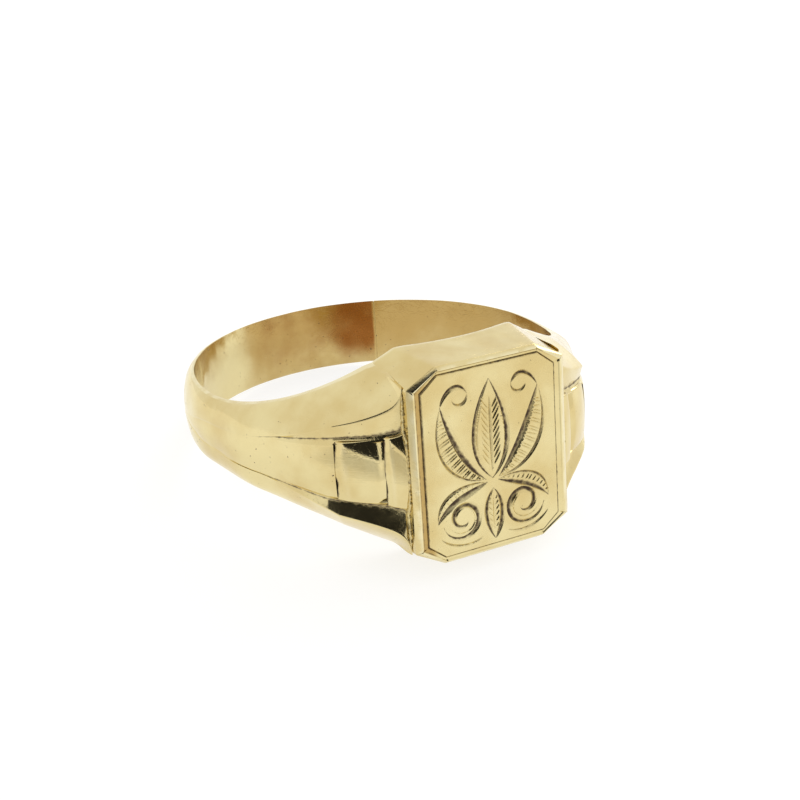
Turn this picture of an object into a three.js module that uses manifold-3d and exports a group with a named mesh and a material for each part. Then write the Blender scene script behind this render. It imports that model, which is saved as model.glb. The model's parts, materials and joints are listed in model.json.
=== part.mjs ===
// Signet ring: a tapered band with fluted, stepped shoulders and an eight-sided flat signet head.
//
// Units are millimetres. The pieces are made in the ring's own frame, with the centre of the finger
// hole at the origin: X runs to the middle of the signet face, Y across the head, and Z along the
// finger hole. The finished ring is then laid on its side, +Z up, the way it lies on a table: it stands
// on two points of the head's lower inner edge and on the back of the band.

import Module from 'manifold-3d';
import * as THREE from 'three';
import { mergeVertices } from 'three/addons/utils/BufferGeometryUtils.js';

// ---- driving dimensions, mm and degrees ----

const FINGER_RADIUS = 9.25;
const BAND_THICKNESS = 0.68;
const BAND_HALF_WIDTH = 1.82;

const FACE_HEIGHT = 12.0;
const HEAD_HALF_WIDTH = 4.1;
const HEAD_HALF_HEIGHT = 5.05;
const RIM_DEPTH = 0.58;
const RIM_BEVEL = 0.2;
const LINE_BEVEL = 0.05;
const LINER_THICKNESS = 0.5;

// Eight-sided outlines: half width, half height, and where the corners are cut: the height at which the
// cut meets the side, and the width at which it meets the end.
const BOX_FOOT = [HEAD_HALF_WIDTH, HEAD_HALF_HEIGHT, 4.35, 3.0];
const BOX_TOP = [HEAD_HALF_WIDTH, 4.8, 3.98, 2.6];
const FIELD = [3.48, 4.43, 3.73, 2.63];
const CAVITY = [3.2, 3.9, 3.25, 2.25];

const GENTLE_SWELL = 0.45;
const SHOULDER_SWELL = 1.8;
const SWELL_START = 60;
const SWELL_END = 20;
const FLARE_START = 85.7;
const FLARE_END = 18.9;
const SHANK_END = 80;
const GROOVE_START = 79;

const RIB_AT_START = 0.62;
const RIB_AT_HEAD = 1.76;
const RIDGE_START = 66;
const RIDGE_OVER_RIB = [0.12, 1.94];
const VALLEY_WIDTH = [0.08, 0.31];
const VALLEY_DEPTH = [0.04, 0.38];
const RIB_CROWN = 0.06;

const TIER_OUTER_START = 35.5;
const TIER_INNER_START = 28;
const TIER_SEAT_DEPTH = 0.48;
const TIER_RISES = [0.12, 0.18];

const SEAM_ANGLE = 153;
const SEAM_WIDTH = 0.1;
const BEAD_SIZE = 0.24;
const BEAD_SLOPE = 0.15;
const GAP = 0.02;

const BAND_CURVE = 2.6;
const SHOULDER_CURVE = 1.4;
const RAIL_STEPS = 6;

// ---- small helpers ----

const clamp01 = (value) => Math.min(1, Math.max(0, value));
const smoothstep = (value) => clamp01(value) ** 2 * (3 - 2 * clamp01(value));
const lerp = THREE.MathUtils.lerp;
const radians = THREE.MathUtils.degToRad;
const degrees = THREE.MathUtils.radToDeg;

// A point of the ring's frame from its distance to the finger axis, its angle from the head and its height.
function ringPoint(radius, angle, height) {
  const turn = radians(angle);
  return new THREE.Vector3(radius * Math.cos(turn), radius * Math.sin(turn), height);
}

// Turns a triangle list over if it encloses a negative volume, so that its faces point out.
function facingOut(points, triangles) {
  let volume = 0;
  for (const [a, b, c] of triangles) {
    volume += points[a].dot(new THREE.Vector3().crossVectors(points[b], points[c]));
  }
  return volume > 0 ? triangles : triangles.map(([a, b, c]) => [a, c, b]);
}

function geometryOf(points, triangles) {
  const geometry = new THREE.BufferGeometry();
  const positions = points.flatMap((point) => [point.x, point.y, point.z]);
  geometry.setAttribute('position', new THREE.Float32BufferAttribute(positions, 3));
  geometry.setIndex(facingOut(points, triangles).flat());
  const faceted = geometry.toNonIndexed();
  faceted.computeVertexNormals();
  return faceted;
}

// Side faces between loops of equally many points; the loops are closed, and so is the row if asked.
function sideFaces(loopCount, loopSize, closeRow) {
  const triangles = [];
  const rows = closeRow ? loopCount : loopCount - 1;
  for (let row = 0; row < rows; row += 1) {
    const next = (row + 1) % loopCount;
    for (let step = 0; step < loopSize; step += 1) {
      const following = (step + 1) % loopSize;
      const a = row * loopSize + step;
      const b = row * loopSize + following;
      const c = next * loopSize + following;
      const d = next * loopSize + step;
      triangles.push([a, b, c], [a, c, d]);
    }
  }
  return triangles;
}

// A closed bar through loops of points, with both ends filled. flatEnd is the first loop in 2-D.
function bar(loops, flatEnd) {
  const size = loops[0].length;
  const triangles = sideFaces(loops.length, size, false);
  const last = (loops.length - 1) * size;
  const clockwise = THREE.ShapeUtils.isClockWise(flatEnd);
  for (const face of THREE.ShapeUtils.triangulateShape(flatEnd, [])) {
    const [a, b, c] = clockwise ? [...face].reverse() : face;
    triangles.push([a, c, b], [last + a, last + b, last + c]);
  }
  return geometryOf(loops.flat(), triangles);
}

const flat = (outline) => outline.map(([radius, height]) => new THREE.Vector2(radius, height));

// ---- the shape of the band and shoulders, as a function of the angle from the head ----

const bandRadius = FINGER_RADIUS + BAND_THICKNESS;

// Half the height of the finger hole's edge: the band flares smoothly up to the head.
function edgeHeight(angle) {
  const flare = clamp01((FLARE_START - angle) / (FLARE_START - FLARE_END));
  return BAND_HALF_WIDTH + (HEAD_HALF_HEIGHT - BAND_HALF_WIDTH) * flare ** 2;
}

// The outline seen along the finger hole: a round band that swells gently, then strongly to the head.
function outlineRadius(angle) {
  const gentle = GENTLE_SWELL * smoothstep((SHANK_END - angle) / (SHANK_END - SWELL_START));
  const strong = SHOULDER_SWELL * smoothstep((SWELL_START - angle) / (SWELL_START - SWELL_END));
  return bandRadius + gentle + strong;
}

// Half the height of the middle rib.
function ribHeight(angle) {
  const growth = clamp01((GROOVE_START - angle) / (GROOVE_START - SWELL_END));
  return lerp(RIB_AT_START, RIB_AT_HEAD, growth ** 1.9);
}

// Height of the ridge between the smooth rail and the flute beside the rib.
function ridgeHeight(angle) {
  const growth = clamp01((RIDGE_START - angle) / (RIDGE_START - SWELL_END));
  return ribHeight(angle) + lerp(...RIDGE_OVER_RIB, growth ** 2);
}

// How far the flute has opened: 0 where it starts on the band, 1 at the tiers.
const openness = (angle) => smoothstep((GROOVE_START - angle) / (GROOVE_START - TIER_OUTER_START));

// The rounded surface from the finger hole's edge up to a crest at the given radius and height.
function roundedRail(edge, crestRadius, crestHeight, bend) {
  const points = [];
  for (let step = 0; step <= RAIL_STEPS; step += 1) {
    const turn = (step / RAIL_STEPS) * Math.PI / 2;
    const out = Math.sin(turn) ** (2 / bend);
    const up = Math.max(0, Math.cos(turn)) ** (2 / bend);
    const radius = FINGER_RADIUS + (crestRadius - FINGER_RADIUS) * out;
    points.push([radius, crestHeight + (edge - crestHeight) * up]);
  }
  return points;
}

// Upper half of a shoulder section, from the finger hole's edge to the middle of the rib.
function shoulderHalf(angle, edge, seated) {
  const crest = outlineRadius(angle);
  const ridge = ridgeHeight(angle);
  const rib = ribHeight(angle);
  const valley = rib + lerp(...VALLEY_WIDTH, openness(angle));
  const depth = lerp(...VALLEY_DEPTH, openness(angle));
  const bend = lerp(BAND_CURVE, SHOULDER_CURVE, smoothstep((SHANK_END - angle) / 35));
  const points = roundedRail(edge, crest, ridge, bend);
  points.push([crest - depth * 0.66, (ridge + valley) / 2], [crest - depth, valley]);
  if (seated) {
    points.push([crest - TIER_SEAT_DEPTH, rib - 0.02]);
    points.push([crest - TIER_SEAT_DEPTH, rib * 0.5]);
    points.push([crest - TIER_SEAT_DEPTH, 0]);
  } else {
    points.push([crest - 0.02, rib]);
    points.push([crest + RIB_CROWN * 0.75, rib * 0.5]);
    points.push([crest + RIB_CROWN, 0]);
  }
  return points;
}

// Closes an upper half into a whole outline with its mirror image.
function mirrored(half) {
  const lower = half.slice(0, -1).reverse().map(([radius, height]) => [radius, -height]);
  return [...half, ...lower];
}

// Angle of a point that is the given distance from the finger axis and lies in the end plane at the head.
const endAngle = (radius) => degrees(Math.asin((HEAD_HALF_WIDTH + GAP) / radius));

// A section leans from a radial plane (lean 0) into the head's side wall (lean 1).
const leanedAngle = (radius, { angle, lean }) => angle + (endAngle(radius) - angle) * lean;

function placeSection(outline, station, side) {
  return outline.map(([radius, height]) => ringPoint(radius, side * leanedAngle(radius, station), height));
}

function shoulderOutline(station, seated) {
  const edge = edgeHeight(leanedAngle(FINGER_RADIUS, station));
  return mirrored(shoulderHalf(station.angle, edge, seated));
}

const HEAD_ANGLE = endAngle(outlineRadius(20.9));

// Stations from one angle to another: each is an angle and how far it leans into the head's side wall.
function stations(from, to, count) {
  const list = [];
  for (let step = 0; step <= count; step += 1) {
    const angle = from + (to - from) * (step / count);
    const lean = clamp01((TIER_OUTER_START - angle) / (TIER_OUTER_START - HEAD_ANGLE));
    list.push({ angle, lean });
  }
  return list;
}

// ---- the pieces ----

function shankGeometry(fromAngle, toAngle, count) {
  const half = roundedRail(BAND_HALF_WIDTH, bandRadius, 0, BAND_CURVE);
  const outline = mirrored(half);
  const loops = [];
  for (let step = 0; step <= count; step += 1) {
    const angle = fromAngle + (toAngle - fromAngle) * (step / count);
    const widening = edgeHeight(Math.abs(angle)) / BAND_HALF_WIDTH;
    loops.push(outline.map(([radius, height]) => ringPoint(radius, angle, height * widening)));
  }
  return bar(loops, flat(outline));
}

function shoulderGeometry(side) {
  const plain = stations(SHANK_END - 0.2, TIER_OUTER_START, 9);
  const seated = stations(TIER_OUTER_START - 0.1, HEAD_ANGLE, 6);
  const loops = [
    ...plain.map((station) => placeSection(shoulderOutline(station, false), station, side)),
    ...seated.map((station) => placeSection(shoulderOutline(station, true), station, side)),
  ];
  return bar(loops, flat(shoulderOutline(plain[0], false)));
}

// A stepped block in the seat on the shoulder, domed from side to side.
function tierOutline(angle, rise) {
  const crest = outlineRadius(angle);
  const halfWidth = ribHeight(angle) - 0.04;
  const floor = crest - TIER_SEAT_DEPTH + GAP;
  const top = crest + rise;
  return mirrored([
    [floor, halfWidth],
    [top - 0.2, halfWidth],
    [top - 0.06, halfWidth * 0.72],
    [top, halfWidth * 0.36],
    [top + 0.02, 0],
  ]);
}

function tierGeometry(side, from, to, rise) {
  const loops = stations(from, to, 4).map((station) => (
    placeSection(tierOutline(station.angle, rise), station, side)
  ));
  return bar(loops, flat(tierOutline(from, rise)));
}

// The thin line of solder where the band was opened and closed again.
function seamGeometry() {
  const halfAngle = degrees(SEAM_WIDTH / 2 / bandRadius);
  return shankGeometry(SEAM_ANGLE - halfAngle, SEAM_ANGLE + halfAngle, 1);
}

// A bead of solder in the corner between the shoulder's end and the head's side wall.
function beadGeometry(side) {
  const half = shoulderHalf(HEAD_ANGLE, HEAD_HALF_HEIGHT, true).slice(RAIL_STEPS, RAIL_STEPS + 3);
  const tiers = mirrored(tierOutline(HEAD_ANGLE, TIER_RISES[1]).slice(1, 5));
  const lower = half.map(([radius, height]) => [radius, -height]).reverse();
  const wall = HEAD_HALF_WIDTH + GAP;
  const loops = [...half, ...tiers, ...lower].map(([radius, height]) => {
    const surface = Math.sqrt(radius ** 2 - wall ** 2);
    return [
      new THREE.Vector3(surface + GAP, side * wall, height),
      new THREE.Vector3(surface + GAP + BEAD_SIZE, side * wall, height),
      new THREE.Vector3(surface - BEAD_SIZE * BEAD_SLOPE, side * (wall + BEAD_SIZE), height),
    ];
  });
  const triangle = [[0, 0], [BEAD_SIZE, 0], [-BEAD_SIZE * BEAD_SLOPE, BEAD_SIZE]];
  return bar(loops, flat(triangle));
}

// The eight corners of an outline, part of the way from one set of its measures to another.
function corners(from, to = from, share = 0) {
  const [width, height, cutHeight, cutWidth] = from.map((value, index) => lerp(value, to[index], share));
  const quarter = [[width, cutHeight], [cutWidth, height]];
  const across = quarter.map(([y, z]) => [-y, z]).reverse();
  const upper = [...quarter, ...across];
  const lower = upper.map(([y, z]) => [-y, -z]);
  return [...upper, ...lower];
}

const level = (outline, x) => outline.map(([y, z]) => new THREE.Vector3(x, y, z));
const flatCorners = (outline) => outline.map(([y, z]) => new THREE.Vector2(y, z));

// An eight-sided solid through outlines at rising distances from the finger axis.
function headSolid(levels) {
  return bar(levels.map(([x, measures]) => level(corners(measures), x)), flatCorners(corners(levels[0][1])));
}

// The raised border: one mitred strip with a bevel outside and a narrow one inside.
function rimGeometry() {
  const bottom = FACE_HEIGHT - RIM_DEPTH + GAP;
  const profile = [
    [0, bottom],
    [0, FACE_HEIGHT - RIM_BEVEL],
    [0.32, FACE_HEIGHT],
    [0.92, FACE_HEIGHT],
    [1, FACE_HEIGHT - LINE_BEVEL],
    [1, bottom],
  ];
  const loops = profile.map(([share, x]) => level(corners(BOX_TOP, FIELD, share), x));
  return geometryOf(loops.flat(), sideFaces(loops.length, loops[0].length, true));
}

// The engraved plate, with a small bevel that leaves the dark line round the field.
function plateGeometry() {
  const bottom = FACE_HEIGHT - RIM_DEPTH + GAP;
  const edge = FIELD.map((value) => value - GAP);
  const top = edge.map((value) => value - LINE_BEVEL);
  return headSolid([[bottom, edge], [FACE_HEIGHT - LINE_BEVEL, edge], [FACE_HEIGHT, top]]);
}

// ---- cuts ----

const wasm = await Module();
wasm.setup();

function solid(geometry) {
  const bare = geometry.clone();
  bare.deleteAttribute('normal');
  bare.deleteAttribute('uv');
  const merged = mergeVertices(bare, 1e-4);
  const vertProperties = new Float32Array(merged.getAttribute('position').array);
  const triVerts = new Uint32Array(merged.getIndex().array);
  return new wasm.Manifold(new wasm.Mesh({ numProp: 3, vertProperties, triVerts }));
}

function geometryFrom(manifold) {
  const { vertProperties, triVerts, numProp } = manifold.getMesh();
  const points = [];
  for (let start = 0; start < vertProperties.length; start += numProp) {
    points.push(new THREE.Vector3(...vertProperties.slice(start, start + 3)));
  }
  const triangles = [];
  for (let start = 0; start < triVerts.length; start += 3) {
    triangles.push([triVerts[start], triVerts[start + 1], triVerts[start + 2]]);
  }
  return geometryOf(points, triangles);
}

// A round bar along the finger axis.
function fingerBar(radius, halfLength) {
  const geometry = new THREE.CylinderGeometry(radius, radius, halfLength * 2, 120);
  geometry.rotateX(Math.PI / 2);
  return solid(geometry);
}

// The hollow eight-sided box under the signet plate, open to the finger hole and to the face.
function boxGeometry() {
  const top = FACE_HEIGHT - RIM_DEPTH;
  const foot = FINGER_RADIUS * 0.8;
  const outside = solid(headSolid([[foot, BOX_FOOT], [FINGER_RADIUS, BOX_FOOT], [top, BOX_TOP]]));
  const inside = solid(headSolid([[FINGER_RADIUS * 0.7, CAVITY], [top + 1, CAVITY]]));
  const finger = fingerBar(FINGER_RADIUS, HEAD_HALF_HEIGHT * 1.2);
  return geometryFrom(outside.subtract(inside).subtract(finger));
}

// The curved plate that closes the box on the finger side.
function linerGeometry() {
  const fitted = CAVITY.map((value) => value - GAP);
  const block = solid(headSolid([[FINGER_RADIUS * 0.8, fitted], [FACE_HEIGHT, fitted]]));
  const outer = fingerBar(FINGER_RADIUS + LINER_THICKNESS, HEAD_HALF_HEIGHT);
  const inner = fingerBar(FINGER_RADIUS, HEAD_HALF_HEIGHT * 1.2);
  return geometryFrom(block.intersect(outer).subtract(inner));
}

// ---- the assembly ----

const gold = { color: 0xcdb673, roughness: 0.24, metalness: 1 };
const polishedGold = { color: 0xd3bd7a, roughness: 0.2, metalness: 1 };
const solder = { color: 0x9a8349, roughness: 0.5, metalness: 1 };

const ring = new THREE.Group();

function addPiece(name, geometry, look) {
  const piece = new THREE.Mesh(geometry, new THREE.MeshStandardMaterial(look));
  piece.name = name;
  ring.add(piece);
}

const seamHalf = degrees((SEAM_WIDTH / 2 + GAP) / bandRadius);
addPiece('shank_left', shankGeometry(-SHANK_END, SEAM_ANGLE + seamHalf - 360, 24), gold);
addPiece('shank_right', shankGeometry(SHANK_END, SEAM_ANGLE - seamHalf, 14), gold);
addPiece('sizing_seam', seamGeometry(), solder);

for (const [word, side] of [['left', -1], ['right', 1]]) {
  addPiece(`shoulder_${word}`, shoulderGeometry(side), gold);
  const outerTier = tierGeometry(side, TIER_OUTER_START - 0.3, TIER_INNER_START + 0.1, TIER_RISES[0]);
  const innerTier = tierGeometry(side, TIER_INNER_START, HEAD_ANGLE, TIER_RISES[1]);
  addPiece(`tier_outer_${word}`, outerTier, gold);
  addPiece(`tier_inner_${word}`, innerTier, gold);
  addPiece(`solder_bead_${word}`, beadGeometry(side), solder);
}

addPiece('head_box', boxGeometry(), gold);
addPiece('finger_liner', linerGeometry(), gold);
addPiece('face_border', rimGeometry(), polishedGold);
addPiece('signet_plate', plateGeometry(), polishedGold);

// ---- laying the ring down ----

// The two resting places: the head's lower inner edge, at its cut corners, and the back of the band.
const headRest = Math.sqrt(FINGER_RADIUS ** 2 - BOX_FOOT[3] ** 2);
const backRest = FINGER_RADIUS + BAND_THICKNESS / 4;
const tilt = Math.atan2(HEAD_HALF_HEIGHT - BAND_HALF_WIDTH, headRest + backRest);

const laid = new THREE.Group();
laid.add(ring);
ring.rotation.y = -tilt;
laid.updateMatrixWorld(true);
const bounds = new THREE.Box3().setFromObject(laid, true);
const middle = bounds.getCenter(new THREE.Vector3());
ring.position.set(-middle.x, -middle.y, -bounds.min.z);

export default laid;
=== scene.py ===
"""Looks of the signet ring: smooth gold surfaces, an engraved face, wear and soft studio light."""
import json
import math

import bpy
import numpy as np
from mathutils import Matrix, Vector


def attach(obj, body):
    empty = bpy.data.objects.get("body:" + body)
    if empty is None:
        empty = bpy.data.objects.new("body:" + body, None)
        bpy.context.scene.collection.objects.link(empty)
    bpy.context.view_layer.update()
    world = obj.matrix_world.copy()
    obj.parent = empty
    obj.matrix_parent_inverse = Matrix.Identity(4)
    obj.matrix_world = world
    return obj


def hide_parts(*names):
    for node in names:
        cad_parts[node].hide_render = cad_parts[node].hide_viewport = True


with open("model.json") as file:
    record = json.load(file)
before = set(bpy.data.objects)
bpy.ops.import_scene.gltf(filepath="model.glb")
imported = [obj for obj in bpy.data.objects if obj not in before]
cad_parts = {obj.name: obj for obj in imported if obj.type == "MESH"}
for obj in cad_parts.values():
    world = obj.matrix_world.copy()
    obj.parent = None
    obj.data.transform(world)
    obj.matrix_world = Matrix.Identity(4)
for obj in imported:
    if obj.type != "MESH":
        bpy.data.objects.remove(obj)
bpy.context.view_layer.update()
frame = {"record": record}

# ---------------------------------------------------------------- driving dimensions
# Millimetres and degrees, in the ring's own frame: the centre of the finger hole is the origin, the
# first axis runs to the middle of the signet face, the second across it and the third along the hole.
# Angles are counted round the finger from the middle of the face.

MM = 0.001

FINGER_RADIUS = 9.25
BAND_THICKNESS = 0.68
BAND_HALF_WIDTH = 1.82
BAND_RADIUS = FINGER_RADIUS + BAND_THICKNESS

FACE_HEIGHT = 12.0
HEAD_HALF_WIDTH = 4.1
HEAD_HALF_HEIGHT = 5.05
RIM_DEPTH = 0.56
LINER_THICKNESS = 0.5

# Eight-sided outlines: half width, half height, and where the corners are cut: the height at which the
# cut meets the side, and the width at which it meets the end.
BOX_FOOT = (HEAD_HALF_WIDTH, HEAD_HALF_HEIGHT, 4.35, 3.0)
BOX_TOP = (HEAD_HALF_WIDTH, 4.8, 3.98, 2.6)
FIELD = (3.48, 4.43, 3.73, 2.63)
CAVITY = (3.2, 3.9, 3.25, 2.25)

# The outline swells and the edges flare from the band to the head. The flutes start as lines.
GENTLE_SWELL = 0.45
SHOULDER_SWELL = 1.8
SWELL_START = 60.0
SWELL_END = 20.0
FLARE_START = 85.7
FLARE_END = 18.9
SHANK_END = 80.0
GROOVE_START = 79.0

# Heights of the rib, of the ridge above it and of the valley between them, where they start and at the
# head. A blend is the angle over which the round band gives way to the rib, or its top to the ridge.
RIB_AT_START = 0.62
RIB_AT_HEAD = 1.76
RIB_CROWN = 0.06
BAND_BLEND = 30.0
RIDGE_START = 66.0
RIDGE_OVER_RIB = (0.12, 1.94)
RIDGE_BLEND = 34.0
RIDGE_SLOPE = 44.0
RIDGE_UPTURN = 0.4
UPTURN_START = 27.0
VALLEY_WIDTH = (0.08, 0.31)

# The flutes beside the rib: a line that opens into a hollow, and a deeper scoop beside the tiers. At the
# head each ends in a small facet.
LINE_DEPTH = 0.04
LINE_BLEND = 12.0
HOLLOW_DEPTH = 0.11
HOLLOW_START = 60.0
HOLLOW_BLEND = 22.0
UPPER_SCOOP = 0.06
LOWER_SCOOP = 0.25
SCOOP_START = 38.2
SCOOP_BLEND = 4.5
FACET_LENGTH = 0.34
FACET_DEPTH = 0.4

# The stepped blocks: where they start, how deep they sit, how they rise, and how their tops are rounded.
TIER_OUTER_START = 35.5
TIER_INNER_START = 28.0
TIER_SEAT_DEPTH = 0.48
TIER_RISES = (0.12, 0.18)
TIER_OVER_WALL = 0.6
TIER_FALL = (0.1, 0.34)
TIER_SWELL = 0.09
TIER_TURN_IN = 0.09
TIER_LIP = 0.16
RISER_SHARE = 0.17

SEAM_ANGLE = 153.0
SEAM_WIDTH = 0.07
BEAD_REACH = 3.75
BEAD_SIZE = 0.085

# The hair's breadth between the shoulders' ends and the head's sides.
GAP = 0.004

# How the shoulders' ends follow the cut corners of the head: they start to reach in at this height, by
# this much for each millimetre above it.
CORNER_START = 4.2
CORNER_SLOPE = 1.6

# Points of a section along its rail, along a flute or the rib, and along the wall between those two.
RAIL_POINTS = 34
SECTION_POINTS = 22
WALL_POINTS = 9

# Edges that turn by more than this many degrees stay sharp.
SHARP_ANGLE = 38.0

# How wavy the hand-finished surfaces are.
BODY_WAVES = 0.012
BORDER_WAVES = 0.006
FACE_WAVES = 0.004

# ---------------------------------------------------------------- the ring's frame in the world

mounts = {mount["name"]: mount for mount in frame["record"]["mounts"]}
forward = np.array(mounts["signet_face"]["axis"])
forward = forward / np.linalg.norm(forward)
across = np.array([0.0, 1.0, 0.0])
along = np.cross(forward, across)
hole_centre = np.array(mounts["signet_face"]["pos_m"]) - FACE_HEIGHT * MM * forward


def to_world(points):
    """Ring points in mm to world points in metres."""
    points = np.asarray(points, float)
    axes = np.stack([forward, across, along])
    return hole_centre + MM * points @ axes


def smoothstep(value):
    """A smooth rise from 0 to 1."""
    value = np.clip(value, 0.0, 1.0)
    return value * value * (3 - 2 * value)


# ---------------------------------------------------------------- mesh helpers


def unevenness(points, size):
    """A smooth hand-finished waviness, in mm, that is the same at the same place of every piece."""
    x, y, z = np.asarray(points, float).T
    slow = np.sin(1.3 * x + 0.7 * z + 0.4) * np.sin(1.1 * y - 0.9 * z + 1.9)
    quick = np.sin(3.1 * x - 2.3 * y + 1.1) * np.sin(2.9 * z + 1.7 * y + 0.3)
    return size * (slow + 0.5 * quick)


def make_piece(name, points, faces, node, material, marks):
    """A mesh from ring points that stands for one CAD node. marks holds a value per point for each mark."""
    mesh = bpy.data.meshes.new(name)
    mesh.from_pydata(to_world(points).tolist(), [], [list(face) for face in faces])
    mesh.validate()
    mesh.update()
    mesh.shade_smooth()
    mesh.set_sharp_from_angle(angle=math.radians(SHARP_ANGLE))
    for mark, values in marks.items():
        layer = mesh.attributes.new(mark, "FLOAT", "POINT")
        layer.data.foreach_set("value", np.asarray(values, np.float32))
    mesh.materials.append(material)
    piece = bpy.data.objects.new(name, mesh)
    bpy.context.scene.collection.objects.link(piece)
    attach(piece, "root")
    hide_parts(node)


def side_faces(rows, columns, wrap_rows=False):
    """Quads between closed loops of points."""
    faces = []
    for row in range(rows if wrap_rows else rows - 1):
        start = row * columns
        following = ((row + 1) % rows) * columns
        for column in range(columns):
            right = (column + 1) % columns
            faces.append((start + column, start + right, following + right, following + column))
    return faces


def ribbed_end(row_start, half, columns):
    """Fills the end of a bar whose loop is an outer line followed by an inner line of the same length."""
    faces = []
    for step in range(half - 1):
        a = row_start + step
        b = row_start + step + 1
        c = row_start + columns - 2 - step
        d = row_start + columns - 1 - step
        faces.append((a, b, c, d))
    return faces


def bar_faces(rows, half):
    """Faces of a bar: its sides and both ends. Each loop is an outer and an inner line of half points."""
    columns = 2 * half
    first = ribbed_end(0, half, columns)
    last = [tuple(reversed(face)) for face in ribbed_end((rows - 1) * columns, half, columns)]
    return first + side_faces(rows, columns) + last


def face_out(points, faces):
    """Turns the faces over if they enclose a negative volume."""
    points = np.asarray(points)
    volume = 0.0
    for face in faces:
        corners = points[list(face)]
        for step in range(1, len(face) - 1):
            volume += np.dot(corners[0], np.cross(corners[step], corners[step + 1]))
    return faces if volume > 0 else [tuple(reversed(face)) for face in faces]


# ---------------------------------------------------------------- shape of the band and shoulders


def edge_height(angle):
    """Half the height of the finger hole's edge, at this angle from the head."""
    flare = np.clip((FLARE_START - angle) / (FLARE_START - FLARE_END), 0, 1)
    return BAND_HALF_WIDTH + (HEAD_HALF_HEIGHT - BAND_HALF_WIDTH) * flare**2


def outline_radius(angle):
    """The ring's outline seen along the finger hole."""
    gentle = GENTLE_SWELL * smoothstep((SHANK_END - angle) / (SHANK_END - SWELL_START))
    strong = SHOULDER_SWELL * smoothstep((SWELL_START - angle) / (SWELL_START - SWELL_END))
    return BAND_RADIUS + gentle + strong


def mix(pair, share):
    """The value this share of the way from the first of a pair to the second."""
    return pair[0] + (pair[1] - pair[0]) * share


def rib_height(angle):
    """Half the height of the middle rib."""
    growth = np.clip((GROOVE_START - angle) / (GROOVE_START - SWELL_END), 0, 1)
    return mix((RIB_AT_START, RIB_AT_HEAD), growth**1.9)


def ridge_height(angle):
    """Height of the ridge between the rail and the flute. It turns up at the head."""
    growth = np.clip((RIDGE_START - angle) / (RIDGE_START - SWELL_END), 0, 1)
    upturn = RIDGE_UPTURN * np.clip((UPTURN_START - angle) / (UPTURN_START - SWELL_END), 0, 1) ** 2
    return rib_height(angle) + mix(RIDGE_OVER_RIB, growth**2) + upturn


def valley_height(angle):
    """Height of the flute's deepest line, beside the rib."""
    openness = smoothstep((GROOVE_START - angle) / (GROOVE_START - TIER_OUTER_START))
    return rib_height(angle) + mix(VALLEY_WIDTH, openness)


def flute_depth(angle, to_head, scoop_depth):
    """Depth of the flute below its ridge. It starts as a line, and ends in a small facet at the head."""
    line = LINE_DEPTH * smoothstep((GROOVE_START - angle) / LINE_BLEND)
    hollow = HOLLOW_DEPTH * smoothstep((HOLLOW_START - angle) / HOLLOW_BLEND)
    scoop = scoop_depth * smoothstep((SCOOP_START - angle) / SCOOP_BLEND)
    return (line + hollow + scoop) * mix((FACET_DEPTH, 1.0), smoothstep(to_head / FACET_LENGTH))


def bezier(start, start_handle, end_handle, end, count):
    """Points along a cubic curve."""
    t = np.linspace(0, 1, count)[:, None]
    points = (1 - t) ** 3 * np.array(start) + 3 * (1 - t) ** 2 * t * np.array(start_handle)
    return points + 3 * (1 - t) * t**2 * np.array(end_handle) + t**3 * np.array(end)


def half_section(angle, edge, to_head, seated, scoop_depth):
    """Section from the finger hole's edge to the middle of the rib, as rows of radius, height and dirt with
    painted shade.
    """
    crest = outline_radius(angle)
    shoulder = smoothstep((SHANK_END + BAND_BLEND - angle) / BAND_BLEND)
    formed = smoothstep((RIDGE_START - angle) / RIDGE_BLEND)
    ridge = ridge_height(angle) * shoulder
    valley = valley_height(angle) * shoulder
    rib = rib_height(angle) * shoulder
    depth = flute_depth(angle, to_head, scoop_depth)
    rise = crest - FINGER_RADIUS
    arrival = math.radians(RIDGE_SLOPE) * formed
    reach = mix((0.62, 0.45), formed) * (edge - ridge)
    handle = (crest - reach * math.sin(arrival), ridge + reach * math.cos(arrival))
    setting_out = FINGER_RADIUS + mix((0.55, 0.35), formed) * rise
    rail = bezier((FINGER_RADIUS, edge), (setting_out, edge), handle, (crest, ridge), RAIL_POINTS)
    lines = [np.column_stack([rail, np.zeros(len(rail))])]

    # The third column darkens the flute towards its valley beside the rib, the wall at the valley and the
    # tiers' seat: dirt and painted shade in these creases.
    s = np.linspace(0, 1, SECTION_POINTS)[1:]
    lines.append(np.column_stack([
        crest - depth * s * (1.2 - 0.2 * s),
        ridge + (valley - ridge) * s,
        0.8 * s**5,
    ]))
    s = np.linspace(0, 1, WALL_POINTS)[1:]
    wall_top = crest - 0.02
    lines.append(np.column_stack([
        crest - depth + (wall_top - crest + depth) * smoothstep(s),
        valley + (rib - valley) * s,
        0.7 * (1 - s) ** 2,
    ]))
    s = np.linspace(0, 1, SECTION_POINTS)[1:]
    if seated:
        drop = smoothstep(s / 0.12)
        level = wall_top - (TIER_SEAT_DEPTH + 0.04) * drop
        lines.append(np.column_stack([level, rib * (1 - s), np.ones(len(s))]))
    else:
        level = wall_top + (RIB_CROWN * shoulder + 0.02) * (1 - (1 - s) ** 2)
        lines.append(np.column_stack([level, rib * (1 - s), np.zeros(len(s))]))
    return np.concatenate(lines)


def soften(outline, passes):
    """Rounds the sharp lines of a section a little, as polishing does. Its ends stay."""
    outline = outline.copy()
    for _ in range(passes):
        inner = (outline[:-2] + 2 * outline[1:-1] + outline[2:]) / 4
        outline[1:-1, :2] = inner[:, :2]
    return outline


def end_angle(radius, height=0.0):
    """Angle at which a bar meets the head's side. Where the head's corners are cut, it reaches further in."""
    inset = CORNER_SLOPE * np.maximum(np.abs(height) - CORNER_START, 0)
    return np.degrees(np.arcsin((HEAD_HALF_WIDTH + GAP - inset) / radius))


HEAD_ANGLE = float(end_angle(outline_radius(20.9)))
HEAD_OUTLINE = outline_radius(HEAD_ANGLE)


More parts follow.
